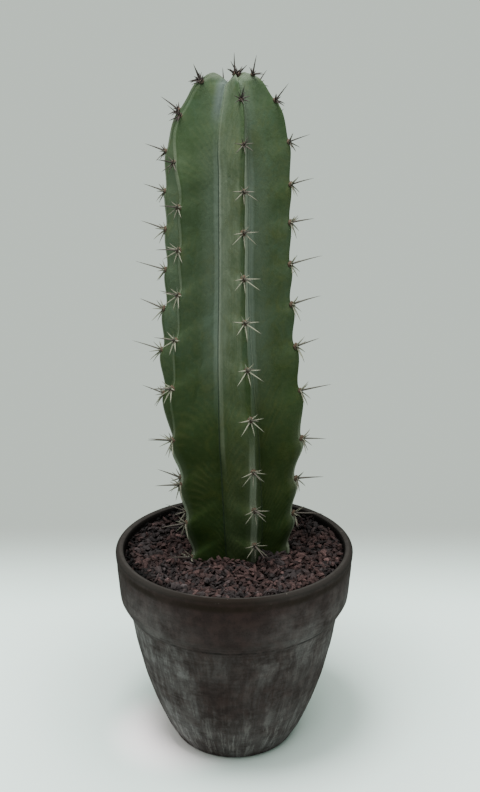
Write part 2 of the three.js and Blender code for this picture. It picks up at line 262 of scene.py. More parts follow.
def maths(operation, swapped=False):
    """A method that joins a value and another one by a Math node, swapped where it is reflected."""

    def join(value, other):
        pair = (other, value) if swapped else (value, other)
        return value.shader.add("ShaderNodeMath", {"operation": operation}, pair)

    return join


class Value:
    """A node's output. Arithmetic on it adds Math nodes, so shader maths is written as sums."""

    __add__ = maths("ADD")
    __radd__ = maths("ADD", swapped=True)
    __sub__ = maths("SUBTRACT")
    __rsub__ = maths("SUBTRACT", swapped=True)
    __mul__ = maths("MULTIPLY")
    __rmul__ = maths("MULTIPLY", swapped=True)
    __pow__ = maths("POWER")
    __rpow__ = maths("POWER", swapped=True)

    def __init__(self, shader, output):
        self.shader = shader
        self.output = output

    def __abs__(self):
        return self.shader.add("ShaderNodeMath", {"operation": "ABSOLUTE"}, [self])

    def vector(self, operation, *others, output="Vector"):
        """Vector maths, whose outcome is a vector, or a number where the output is Value."""
        values = {"operation": operation}
        return self.shader.add("ShaderNodeVectorMath", values, [self, *others], output)

    def axis(self, name):
        """One coordinate of a vector."""
        return self.shader.add("ShaderNodeSeparateXYZ", None, [self], name)

    def noise(self, size, detail=2, roughness=0.5, distortion=0):
        """Noise from 0 to 1 at this place, with patches of the given size in millimetres."""
        values = {"Vector": self, "Scale": 1 / size, "Detail": detail}
        values.update(Roughness=roughness, Distortion=distortion)
        return self.shader.add("ShaderNodeTexNoise", None, values)

    def cells(self, size):
        """Distance from this place to the nearest of points scattered a size apart."""
        return self.shader.add("ShaderNodeTexVoronoi", None, {"Vector": self, "Scale": 1 / size})

    def ramp(self, low, high, start=0, end=1):
        """A smooth step from start to end while the value goes from low to high."""
        settings = {"interpolation_type": "SMOOTHSTEP"}
        return self.shader.add("ShaderNodeMapRange", settings, [self, low, high, start, end])


class Shader:
    """A material's nodes around one Principled BSDF. Uniform values are set on its sockets."""

    def __init__(self, name, specular):
        self.material = bpy.data.materials.new(name)
        self.material.use_nodes = True
        self.nodes = self.material.node_tree.nodes
        self.links = self.material.node_tree.links
        self.surface = self.nodes["Principled BSDF"].inputs
        self.put(self.surface["Specular IOR Level"], specular)

    def put(self, socket, value):
        """Links a node's output to a socket, or sets the socket's own value."""
        if isinstance(value, Value):
            self.links.new(value.output, socket)
        elif socket.type == "RGBA":
            socket.default_value = (*value, 1)
        else:
            socket.default_value = value

    def add(self, kind, settings=None, values=(), output=0):
        """Adds one node: first its settings, then its sockets, by name or in order."""
        node = self.nodes.new(kind)
        for name, choice in (settings or {}).items():
            setattr(node, name, choice)
        for key, value in values.items() if isinstance(values, dict) else enumerate(values):
            self.put(node.inputs[key], value)
        return Value(self, node.outputs[output])

    def spot(self, stretch=(1, 1, 1)):
        """The place on the piece in millimetres, with each axis stretched."""
        place = self.add("ShaderNodeTexCoord", output="Object")
        return place.vector("MULTIPLY", [s / MM for s in stretch])

    def attributes(self, *names):
        """The piece's own values over its surface, by their names."""
        return [
            self.add("ShaderNodeAttribute", {"attribute_name": name}, output="Fac")
            for name in names
        ]

    def mix(self, factor, first, second, blend="MIX"):
        """A colour between two, or the second blended onto the first."""
        node = {"data_type": "RGBA", "blend_type": blend}
        return self.add("ShaderNodeMix", node, {0: factor, 6: first, 7: second}, output=2)

    def layers(self, base, *layers):
        """A colour under layers of (cover, colour), the lowest first."""
        for cover, colour in layers:
            base = self.mix(cover, base, colour)
        return base

    def finish(self, base, roughness, bumps=()):
        """Colour and roughness, and bumps as (pattern, depth in millimetres), finest last."""
        self.put(self.surface["Base Color"], base)
        self.put(self.surface["Roughness"], roughness)
        normal = {}
        for pattern, depth in bumps:
            values = {"Strength": 1, "Distance": depth * MM, "Height": pattern, **normal}
            normal = {"Normal": self.add("ShaderNodeBump", None, values)}
        for name, value in normal.items():
            self.put(self.surface[name], value)
        return self.material


# Meshes


def enclosed(points, faces):
    """Six times the volume inside the faces, which is negative if they look inwards: the sum over
    a fan of triangles in each face of the triple product of their corners."""
    first, *rest = points[faces.T]
    fan = zip(rest, rest[1:])
    return sum(np.einsum("ij,ij->", first, np.cross(one, other)) for one, other in fan)


def into_scene(name, data):
    thing = bpy.data.objects.new(name, data)
    bpy.context.scene.collection.objects.link(thing)
    return thing


def new_object(name, points, faces, material):
    """A mesh object from points in millimetres and arrays of faces with like numbers of corners."""
    mesh = bpy.data.meshes.new(name)
    corners = [face for part in faces for face in part.tolist()]
    mesh.from_pydata((points * MM).tolist(), [], corners)
    mesh.materials.append(material)
    return into_scene(name, mesh)


def make_piece(name, points, faces, material, node, attributes=None, sharp=None):
    """A piece of the frame, whose faces are turned outwards. It is smooth unless sharp is 0, and
    else creased over that angle. Attributes hold a value for each point."""
    points = points.reshape(-1, 3)
    volume = sum(enclosed(points, part) for part in faces)
    faces = [part if volume > 0 else part[:, ::-1] for part in faces]
    piece = new_object(name, points, faces, material)
    mesh = piece.data
    mesh.polygons.foreach_set("use_smooth", np.full(len(mesh.polygons), sharp != 0))
    mesh.validate()
    for key, values in (attributes or {}).items():
        layer = mesh.attributes.new(key, "FLOAT", "POINT")
        layer.data.foreach_set("value", np.ravel(values).astype(np.float32))
    if sharp:
        mesh.set_sharp_from_angle(angle=math.radians(sharp))
    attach(piece, "root")
    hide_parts(node)
    return piece


def circle(count):
    """Angles once round in even steps."""
    return np.linspace(0, 2 * np.pi, count, endpoint=False)


def grid_faces(rows, columns, close_rows=False):
    """Quads between neighbouring points of a grid whose columns close on themselves."""
    row = np.arange(rows if close_rows else rows - 1)[:, None] * columns
    below = (row + columns) % (rows * columns)
    column = np.arange(columns)[None, :]
    beside = (column + 1) % columns
    quads = [row + column, below + column, below + beside, row + beside]
    return np.stack(quads, axis=-1).reshape(-1, 4)


def closed_rings(rings, columns):
    """Quads between rings of points, and triangles from the rings at the ends to two poles, whose
    points come last: the one at the first ring and then the one at the last."""
    ring = np.arange(columns)
    beside = (ring + 1) % columns
    pole = np.full(columns, rings * columns)
    last = (rings - 1) * columns
    caps = [(pole, ring, beside), (pole + 1, last + beside, last + ring)]
    return [grid_faces(rings, columns), np.concatenate([np.stack(cap, axis=-1) for cap in caps])]


def repeated(faces, points):
    """The faces of one shape for each of several like ones, whose points are in rows."""
    count, stride = points.shape[:2]
    first = stride * np.arange(count)[:, None, None]
    return [(part + first).reshape(-1, part.shape[1]) for part in faces]


def smooth(value, low, high):
    """The smooth step 3t^2 - 2t^3 of a value's share t of the way from low to high."""
    t = np.clip((value - low) / (high - low), 0, 1)
    return t * t * (3 - 2 * t)


def unit(vectors):
    return vectors / np.linalg.norm(vectors, axis=-1, keepdims=True)


def spline(points, t):
    """The uniform Catmull-Rom spline at t from 0 to 1: between two points it is the cubic whose
    slope at each end is half the step between that end's neighbours."""
    points = np.asarray(points, float)
    last = len(points) - 1
    run = np.clip(t, 0, 1) * last
    start = np.minimum(run.astype(int), last - 1)
    w = (run - start)[..., None]
    before, here, there, after = (points[np.clip(start + step, 0, last)] for step in (-1, 0, 1, 2))
    leaving = (there - before) / 2
    arriving = (after - here) / 2
    cubic = 2 * here - 2 * there + leaving + arriving
    square = 3 * there - 3 * here - 2 * leaving - arriving
    return cubic * w**3 + square * w**2 + leaving * w + here


def waves(around, along, seed, count=14):
    """Gentle unevenness between about -1 and 1: a sum of waves with seeded headings and phases."""
    draw = np.random.default_rng(seed)
    total = 0
    for _ in range(count):
        turns = draw.integers(0, 7)
        rise = draw.uniform(0.01, 0.07)
        total = total + np.sin(turns * around + rise * along + draw.uniform(0, 2 * np.pi))
    return total / math.sqrt(count)


# The pot


def pot_profile(settings):
    """The pot's section as a closed line of (radius, height): splines through the body, the slope
    under the band, the band and the inner wall, with half a circle over the lip between them. A
    line is incised in the slope: 0.12 mm * exp(-(distance / 0.8 mm)^2) deep."""
    arc = np.linspace(0, np.pi, 15)[1:-1, None]
    lip = np.array([91.5, 164.5]) + 3.5 * np.hstack([np.cos(arc), np.sin(arc)])
    slope = spline(SLOPE_OUTLINE, np.linspace(0, 1, 41))[1:]
    slope[:, 0] -= 0.12 * np.exp(-(((slope[:, 1] - CREASE_HEIGHT) / 0.8) ** 2))
    parts = [
        [(DRAIN_RADIUS, 0.6), (DRAIN_RADIUS + 0.6, 0), (47.6, 0)],
        spline(BODY_OUTLINE, np.linspace(0, 1, 52)),
        slope,
        spline(BAND_OUTLINE, np.linspace(0, 1, 16))[1:],
        lip,
        spline(INNER_OUTLINE[:2], np.linspace(0, 1, 8)),
        spline(INNER_OUTLINE[1:-1], np.linspace(0, 1, 18))[1:],
        [(48.4, FLOOR), (30, FLOOR), (DRAIN_RADIUS + 0.5, FLOOR), (DRAIN_RADIUS, FLOOR - 0.5)],
    ]
    scale = [settings.rim_radius / MM / RIM_RADIUS, settings.height / MM / POT_HEIGHT]
    return np.concatenate([np.asarray(part, float) for part in parts]) * scale


def clay_material(settings):
    """Dark stained clay, redder in spots, under a chalky wash whose brush streaks run down the
    wall. The streaks are noise on a drum: it changes round the pot and hardly along it. Light
    and shade are painted in as well: more wash on the pot's left side as the light from the
    left, the inner wall under the rim near-black as shade, the incised line dark as shade, and
    a paler line along the lip as a highlight."""
    shader = Shader("washed_clay", 0.03)
    spot = shader.spot()
    height = spot.axis("Z")
    level = spot.vector("MULTIPLY", (1, 1, 0))
    radius = level.vector("LENGTH", output="Value")
    outward = level.vector("NORMALIZE")
    x = outward.axis("X")
    wander = spot.noise(24, 4, 0.6)
    wander = shader.add("ShaderNodeCombineXYZ", None, [wander * 9, wander * 9, wander * 3])
    drum = outward.vector("MULTIPLY", (80, 80, 0)).vector("ADD", wander)
    down = drum.vector("ADD", spot.vector("MULTIPLY", (0, 0, 0.13)))
    around = drum.vector("MULTIPLY", (0.1, 0.1, 0))
    around = around.vector("ADD", spot.vector("MULTIPLY", (0, 0, 1)))
    fibres = down.noise(2, 3, 0.6)
    strokes = down.noise(5, 3, 0.6)
    rings = around.noise(2.2, 3, 0.6)
    patches = spot.noise(26, 4, 0.6)
    blots = spot.noise(9, 4, 0.65)
    grain = spot.noise(1.2, 3, 0.65)
    beside = abs(x + 0.08).ramp(0.12, 0.62)
    # left: more wash on the pot's left side, which is painted light from the left.
    left = x.ramp(-0.28, -0.5)
    below_rim = height.ramp(158, 132)
    body = height.ramp(126, 112)
    low = (height + patches * 40 - 20).ramp(66, 18)
    streaks = (fibres * 0.4 + strokes * 0.6).ramp(0.42, 0.6)
    runs = (fibres * 0.5 + strokes * 0.5).ramp(0.53, 0.62)
    haze = (blots * 0.6 + rings * 0.4).ramp(0.36, 0.66)
    on_band = beside * (below_rim * 0.1 + 0.08) + below_rim * 0.03 + 0.005
    under_crease = abs(height - 102).ramp(22, 8) * (x.ramp(0, 0.4) * 0.025 + 0.035)
    # The left term here is painted light on the pot's left side.
    on_body = beside * 0.06 + left * (0.11 - low * 0.06) + low * 0.13 + under_crease + 0.045
    cover = on_band + (on_body - on_band) * body
    cover = cover * (patches.ramp(0.36, 0.62) * 0.9 + haze * 0.6 + 0.25)
    cover = cover * (streaks * (body * 0.6 + 0.15) + 0.75) * grain.ramp(0.25, 0.6, 0.75, 1.15)
    # edge: a paler line along the crest of the lip, a painted highlight.
    edge = abs(radius - 90.2).ramp(2.6, 1.2) * height.ramp(166.5, 167.5)
    # inside: the inner wall just under the rim, painted near-black as shade in the pot's mouth.
    inside = height.ramp(140, 150) * height.ramp(167.6, 166.6) * radius.ramp(89.4, 88.8)
    chips = spot.noise(3.2).ramp(0.7, 0.76) * height.ramp(158, 166)
    # crease: a dark line along the incised line in the slope, painted shade.
    crease = abs(height - CREASE_HEIGHT + blots * 3 - 1.5).ramp(2, 0.4)
    crease = crease * (strokes * 0.5 + patches * 0.5).ramp(0.42, 0.56, 0.15, 1)
    base = shader.layers(
        settings.clay,
        (blots.ramp(0.42, 0.66) * 0.5, settings.bare_clay),
        ((blots * 0.4 + grain * 0.6).ramp(0.5, 0.34, 0, 0.35), paint(18, 14, 12)),
        (cover * (settings.wash_cover * 2), settings.wash),
        (runs * low * body * 0.13, settings.chalk),
        (abs(height - 160.5).ramp(5, 1) * patches.ramp(0.35, 0.55, 0.35, 0.8), paint(26, 20, 15)),
        (height.ramp(163, 166), shader.mix(beside, paint(22, 18, 15), paint(30, 28, 26))),
        # Painted highlight along the lip.
        (edge * blots.ramp(0.35, 0.65, 0.5, 1), paint(40, 38, 36)),
        # Painted shade: the inner wall under the rim made near-black.
        (inside * 0.9, paint(9, 8, 7)),
        (chips * 0.25, paint(90, 86, 79)),
        # Painted shade along the incised line.
        (crease * 0.7, paint(12, 10, 9)),
    )
    bumps = [(patches, 0.5), (blots, 0.5), (fibres * body, 0.15), (grain, 0.2)]
    return shader.finish(base, grain.ramp(0.2, 0.8, 0.8, 0.95), bumps)


class CACTUS_OT_clay_pot(Operator):
    """Turns the clay pot"""

    bl_idname = "cactus.clay_pot"
    bl_label = "Clay pot"

    def execute(self, context):
        """The profile is carried round the axis, with faint turning rings that only go inwards: by
        0.09 mm * (1 + sin(1.9 * height)) + 0.1 mm * (1 + waves / 2.5), and by 0.45 mm at most."""
        settings = context.scene.cactus_pot
        profile = pot_profile(settings)
        turn = circle(POT_STEPS)
        radius, height = profile.T[:, :, None]
        dents = 0.09 * (1 + np.sin(height * 1.9)) + 0.1 * (1 + waves(turn, height, 5) / 2.5)
        radius = radius - np.where((height > 4) & (height < 160), np.clip(dents, 0, 0.45), 0)
        x, y = radius * np.sin(turn), -radius * np.cos(turn)
        points = np.stack([x, y, height + 0 * turn], axis=-1)
        faces = grid_faces(len(profile), len(turn), close_rows=True)
        clay = clay_material(settings)
        make_piece("clay_pot", points, [faces], clay, "pot", sharp=34)
        return {"FINISHED"}


# The filling


def gravel_height(settings, x, y):
    """The gravel's level plus a heap against the stem, height * exp(-(distance / spread)^2), and a
    bank that rises smoothly to the pot's wall."""
    away = np.hypot(x - HEAP_CENTRE[0], y - HEAP_CENTRE[1]) / HEAP_SPREAD
    bank = settings.bank / MM * smooth(np.hypot(x, y), 56, 86)
    return settings.level / MM + settings.heap / MM * np.exp(-(away**2)) + bank


def inner_radius(height):
    radius, level = np.array(INNER_OUTLINE[:-1][::-1]).T
    return np.interp(height, level, radius)


def soil_material(settings):
    """Damp peat with lighter bark crumbs."""
    shader = Shader("peat_mix", 0.2)
    crumbs = shader.spot().cells(3.2)
    fine = shader.spot().noise(1.2, 4, 0.65)
    base = shader.layers(
        settings.soil,
        (crumbs.ramp(0.2, 0.6), paint(74, 54, 40)),
        (fine.ramp(0.4, 0.7, 0, 0.6), paint(24, 18, 15)),
    )
    return shader.finish(base, 0.95, [(crumbs, 0.8), (fine, 0.4)])


def lava_material(name, settings, dark):
    """Pitted lava. Each stone's tone attribute picks its place between grey and red, and its light
    attribute how pale it is, painted shade included. Dark darkens it all; the bed of fines
    uses it as painted shade in the gaps between the stones."""
    shader = Shader(name, 0.08)
    spot = shader.spot()
    tone, light = shader.attributes("tone", "light")
    tone = tone + spot.noise(24).ramp(0.4, 0.6, -0.35, 0.35)
    grain = spot.noise(0.8, 3, 0.7)
    base = shader.mix(tone.ramp(0.2, 0.9), settings.grey, settings.red)
    # light and dark carry painted shade among the stones as well as their own paleness.
    shade = light * (1 - dark) * grain.ramp(0.25, 0.75, 0.6, 1.35)
    shade = shader.add("ShaderNodeCombineColor", None, [shade] * 3)
    base = shader.mix(1, base, shade, "MULTIPLY")
    bumps = [(spot.cells(0.6), 0.2), (grain, 0.16)]
    return shader.finish(base, grain.ramp(0.2, 0.8, 0.7, 0.95), bumps)


def stem_reach(angle):
    """The stem's radius round its foot at each angle, read from its own skin at its collar."""
    rib, across = np.meshgrid(np.arange(6), np.linspace(-1, 1, 41)[1:], indexing="ij")
    place = np.full(rib.shape, place_at(COLLAR_HEIGHT))
    ring = skin(bpy.context.scene.cactus_stem, rib, place, across).reshape(-1, 3)
    x = ring[:, 0] - STEM_FOOT[0]
    y = ring[:, 1] - STEM_FOOT[1]
    turn = np.arctan2(x, -y)
    order = np.argsort(turn)
    return np.interp(angle, turn[order], np.hypot(x, y)[order], period=2 * np.pi)


class CACTUS_OT_potting_mix(Operator):
    """Gives the potting mix its finish"""

    bl_idname = "cactus.potting_mix"
    bl_label = "Potting mix"

    def execute(self, context):
        """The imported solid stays, and its faces get the soil's own finish."""
        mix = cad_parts["potting_mix"]
        mix.data.materials.clear()
        mix.data.materials.append(soil_material(context.scene.cactus_gravel))
        return {"FINISHED"}


def lay_fines(settings):
    """A closed ring between the stem and the pot's wall: its top runs from the stem outwards
    at a share from 0 to 1, somewhat under the gravel's level, and its underside runs back."""
    turn = circle(FINES_STEPS)[None]
    inner = stem_reach(turn) + STEM_GAP
    foot_x, foot_y = STEM_FOOT
    edge = inner_radius(WALL_HEIGHT) - WALL_GAP
    toward = foot_x * np.sin(turn) - foot_y * np.cos(turn)
    outer = np.sqrt(edge**2 - foot_x**2 - foot_y**2 + toward**2) - toward
    out = inner + (outer - inner) * np.linspace(0, 1, FINES_ROWS)[:, None]
    x = foot_x + out * np.sin(turn)
    y = foot_y - out * np.cos(turn)
    rough = np.random.default_rng(settings.seed).uniform(-0.7, 0.7, out.shape)
    top = np.stack([x, y, gravel_height(settings, x, y) - BED_DROP + rough], axis=-1)
    base = top[[-1, 0]]
    base[..., 2] = BED_FLOOR
    points = np.concatenate([top, base])
    faces = grid_faces(len(points), turn.size, close_rows=True)
    # The bed's low light and the darkness of 0.55 are painted shade: the bed shows only in the gaps
    # between the stones.
    tones = {"tone": np.full(points.shape[:2], 0.3), "light": np.full(points.shape[:2], 0.4)}
    fines = lava_material("lava_fines", settings, 0.55)
    make_piece("lava_bed", points, [faces], fines, "lava_gravel", tones, sharp=0)


def twenty_sided():
    """The twelve corners of a regular solid with twenty sides, on a sphere of radius 1, and its
    faces: the triples of corners that lie near each other, turned outwards."""
    golden = (1 + math.sqrt(5)) / 2
    pairs = [(a, b * golden) for a in (-1, 1) for b in (-1, 1)]
    corners = unit(np.array([np.roll((0, a, b), step) for step in (0, -1, 1) for a, b in pairs]))
    near = np.linalg.norm(corners[:, None] - corners, axis=-1) < 1.1
    triples = combinations(range(len(corners)), 3)
    close = [three for three in triples if all(near[pair] for pair in combinations(three, 2))]
    faces = np.array(close)
    first, second, third = corners[faces.T]
    inward = np.einsum("ij,ij->i", np.cross(first, second), third) < 0
    faces[inward] = faces[inward][:, ::-1]
    return corners, faces


def turned(shapes, angle, first, second):
    """Shapes turned about the axis square to the first and second ones, each by its own angle."""
    cosine = np.cos(angle)[:, None]
    sine = np.sin(angle)[:, None]
    result = shapes.copy()
    result[..., first] = shapes[..., first] * cosine - shapes[..., second] * sine
    result[..., second] = shapes[..., first] * sine + shapes[..., second] * cosine
    return result


def lay_stones(settings):
    """Each stone is a twenty-sided solid whose corners are pushed in or out at random, then
    flattened, turned and put on a jittered grid over the bed, in three layers."""
    draw = np.random.default_rng(settings.seed)
    corners, faces = twenty_sided()
    grain = settings.grain / MM
    found = []
    for spacing, scale, lift in ((0.7, 0.95, -1.4), (0.9, 1.1, 0), (1.5, 1.2, 0.9)):
        step = spacing * grain
        line = np.arange(-90, 90, step)
        grid = np.meshgrid(line, line)
        x, y = ((part + draw.uniform(-0.5, 0.5, part.shape) * step).ravel() for part in grid)
        size = grain / 2 * scale * np.clip(draw.lognormal(0, 0.24, x.size), 0.55, 1.65)
        aside, behind = x - STEM_FOOT[0], y - STEM_FOOT[1]
        gap = np.hypot(aside, behind) - stem_reach(np.arctan2(aside, -behind))
        height = gravel_height(settings, x, y) + lift + draw.uniform(-0.8, 0.6, x.size)
        kept = (gap > size * 0.55) & (np.hypot(x, y) < inner_radius(height) - size * 1.05)
        found.append(np.stack([x, y, height, size, np.full(x.size, lift)])[:, kept])
    x, y, height, size, lifts = np.concatenate(found, axis=1)
    count = len(x)
    shapes = corners[None] * draw.uniform(0.72, 1.16, (count, len(corners), 1))
    spans = [draw.uniform(low, high, count) for low, high in ((1.1, 1.75), (0.5, 0.85), (0.4, 0.7))]
    shapes = shapes * np.stack(spans, axis=-1)[:, None]
    spin = draw.uniform(0, 2 * np.pi, count)
    tilt = draw.normal(0, 0.55, (2, count))
    for angle, one, other in ((tilt[0], 0, 2), (tilt[1], 1, 2), (spin, 0, 1)):
        shapes = turned(shapes, angle, one, other)
    points = np.stack([x, y, height], axis=-1)[:, None] + shapes * size[:, None, None]
    tone = draw.uniform(0, 1, count)
    light = draw.lognormal(-0.6, 0.3, count)
    # Stones of the lower layers are darker: painted shade between the stones above them.
    light = light * np.select([lifts < -1, lifts < 0.5], [0.4, 0.85], 1.15)
    # Towards the back left the stones are darker, and darker still near the pot's wall there:
    # painted shadow of the pot's wall and rim.
    away = inner_radius(height) - np.hypot(x, y)
    clear = smooth(x - y, -20, 60)
    light = light * (0.84 + 0.14 * smooth(x - y, -60, 20))
    light = light * (clear + (1 - clear) * smooth(away, 2, 10))
    tones = {"tone": np.repeat(tone, len(corners)), "light": np.repeat(light, len(corners))}
    faces = repeated([faces], points)
    stone = lava_material("lava_stone", settings, 0)
    make_piece("lava_stones", points, faces, stone, "lava_gravel", tones, sharp=0)


class CACTUS_OT_lava_gravel(Operator):
    """Lays the gravel: a dark bed of fines and the loose stones on it"""

    bl_idname = "cactus.lava_gravel"
    bl_label = "Lava gravel"

    def execute(self, context):
        settings = context.scene.cactus_gravel
        lay_fines(settings)
        lay_stones(settings)
        return {"FINISHED"}


# The stem

CREST_SHARES = np.linspace(0, 1, 2001)
CREST_STEPS = np.linalg.norm(np.diff(spline(CREST_LINE, CREST_SHARES), axis=0), axis=1)
CREST_RUN = np.concatenate([[0], np.cumsum(CREST_STEPS)])
PLACE_ARCS = [0, *AREOLE_ARCS, CREST_RUN[-1]]


def crest_point(arc):
    """Radius and height on the crest line at a distance along it from the growing point."""
    return spline(CREST_LINE, np.interp(arc, CREST_RUN, CREST_SHARES))


def arc_at(place):
    """Distance along the crest line to a place: 0 is the first areole, -1 the growing point."""
    return np.interp(place, np.arange(-1, PLACES + 1), PLACE_ARCS)


def place_at(height):
    """The place where the crest line passes a height on its way down."""
    places = np.linspace(2, PLACES, 600)
    heights = crest_point(arc_at(places))[..., 1]
    return np.interp(-height, -heights, places)


def delay(rib, place):
    """How far a rib's areoles run behind the leading rib's: from early to late down the stem,
    faded out at the growing point and at the buried foot."""
    down = np.clip(place / (GROWN_PLACES - 1), 0, 1) ** BEND[rib]
    between = EARLY[rib] + (LATE - EARLY)[rib] * down
    return between * np.clip(np.minimum(place + 1, (PLACES - place) / BURIED_PLACES), 0, 1)


def heading(rib, height):
    """A rib's heading in radians to the right of the front, from its foot to its crown."""
    turn = FOOT_HEADING[rib] + (CROWN_HEADING - FOOT_HEADING)[rib] * smooth(height, 180, 400)
    return np.radians(turn + TWIST[rib] * smooth(height, 465, 515))


def knob(settings, place, height):
    """The crest's swelling: half a cosine wave from its peak at 0.16 of a spacing below an areole
    down to the notch at 0.86, and another back up to the next peak."""
    down = np.mod(place - 0.16, 1)
    phase = np.where(down < 0.7, down / 0.7, 1 + (down - 0.7) / 0.3)
    low, high = settings.lower_knobs / MM, settings.upper_knobs / MM
    swelling = low + (high - low) * smooth(height, 340, 430)
    return swelling / 2 * np.cos(np.pi * phase)


def lean(settings, height):
    """How far the stem stands to the right at a height: its lean, and 2.5 mm back at the crown."""
    return settings.lean / MM * smooth(height, 150, 350) + 2.5 * smooth(height, 470, 515)


def skin(settings, rib, place, across):
    """Points of the stem's skin. Across runs from 0 on the crest to 1 or -1 in the grooves beside
    it. The section is a hyperbola: the share of the way in from crest radius to groove radius is
    (hypot(across, 0.3) - 0.3), scaled to 1 at the groove: round crests and straight flanks."""
    side = np.where(across < 0, -1, 1)
    aside_share = np.abs(across)
    top = crest_point(arc_at(place + delay(rib, place)))
    valley = crest_point(arc_at(place))
    angle = heading(rib, valley[..., 1])
    gap = np.mod(side * (heading((rib + side) % 6, valley[..., 1]) - angle), 2 * np.pi)
    swelling = np.where(top[..., 0] > 12, knob(settings, place, top[..., 1]), 0)
    low, high = settings.groove_low, settings.groove_high
    groove_radius = (low + (high - low) * smooth(valley[..., 1], 170, 320)) * valley[..., 0]
    dome = smooth(valley[..., 1], 420, 500) * np.clip(valley[..., 0] / 10, 0, 1)
    fall = np.hypot(aside_share, CREST_ROUND) - CREST_ROUND
    fall = fall / (math.hypot(1, CREST_ROUND) - CREST_ROUND)
    crest_radius = top[..., 0] + swelling
    out = crest_radius + (groove_radius * np.cos(gap / 2) - crest_radius) * fall
    aside = across * groove_radius * np.sin(gap / 2)
    crest_height = top[..., 1] - DIP[rib] * smooth(top[..., 1], 490, 525)
    height = crest_height + (valley[..., 1] - 7 * dome - crest_height) * aside_share
    x = out * np.sin(angle) + aside * np.cos(angle) + lean(settings, height) + STEM_FOOT[0]
    y = -out * np.cos(angle) + aside * np.sin(angle) + STEM_FOOT[1]
    return np.stack([x, y, height], axis=-1)


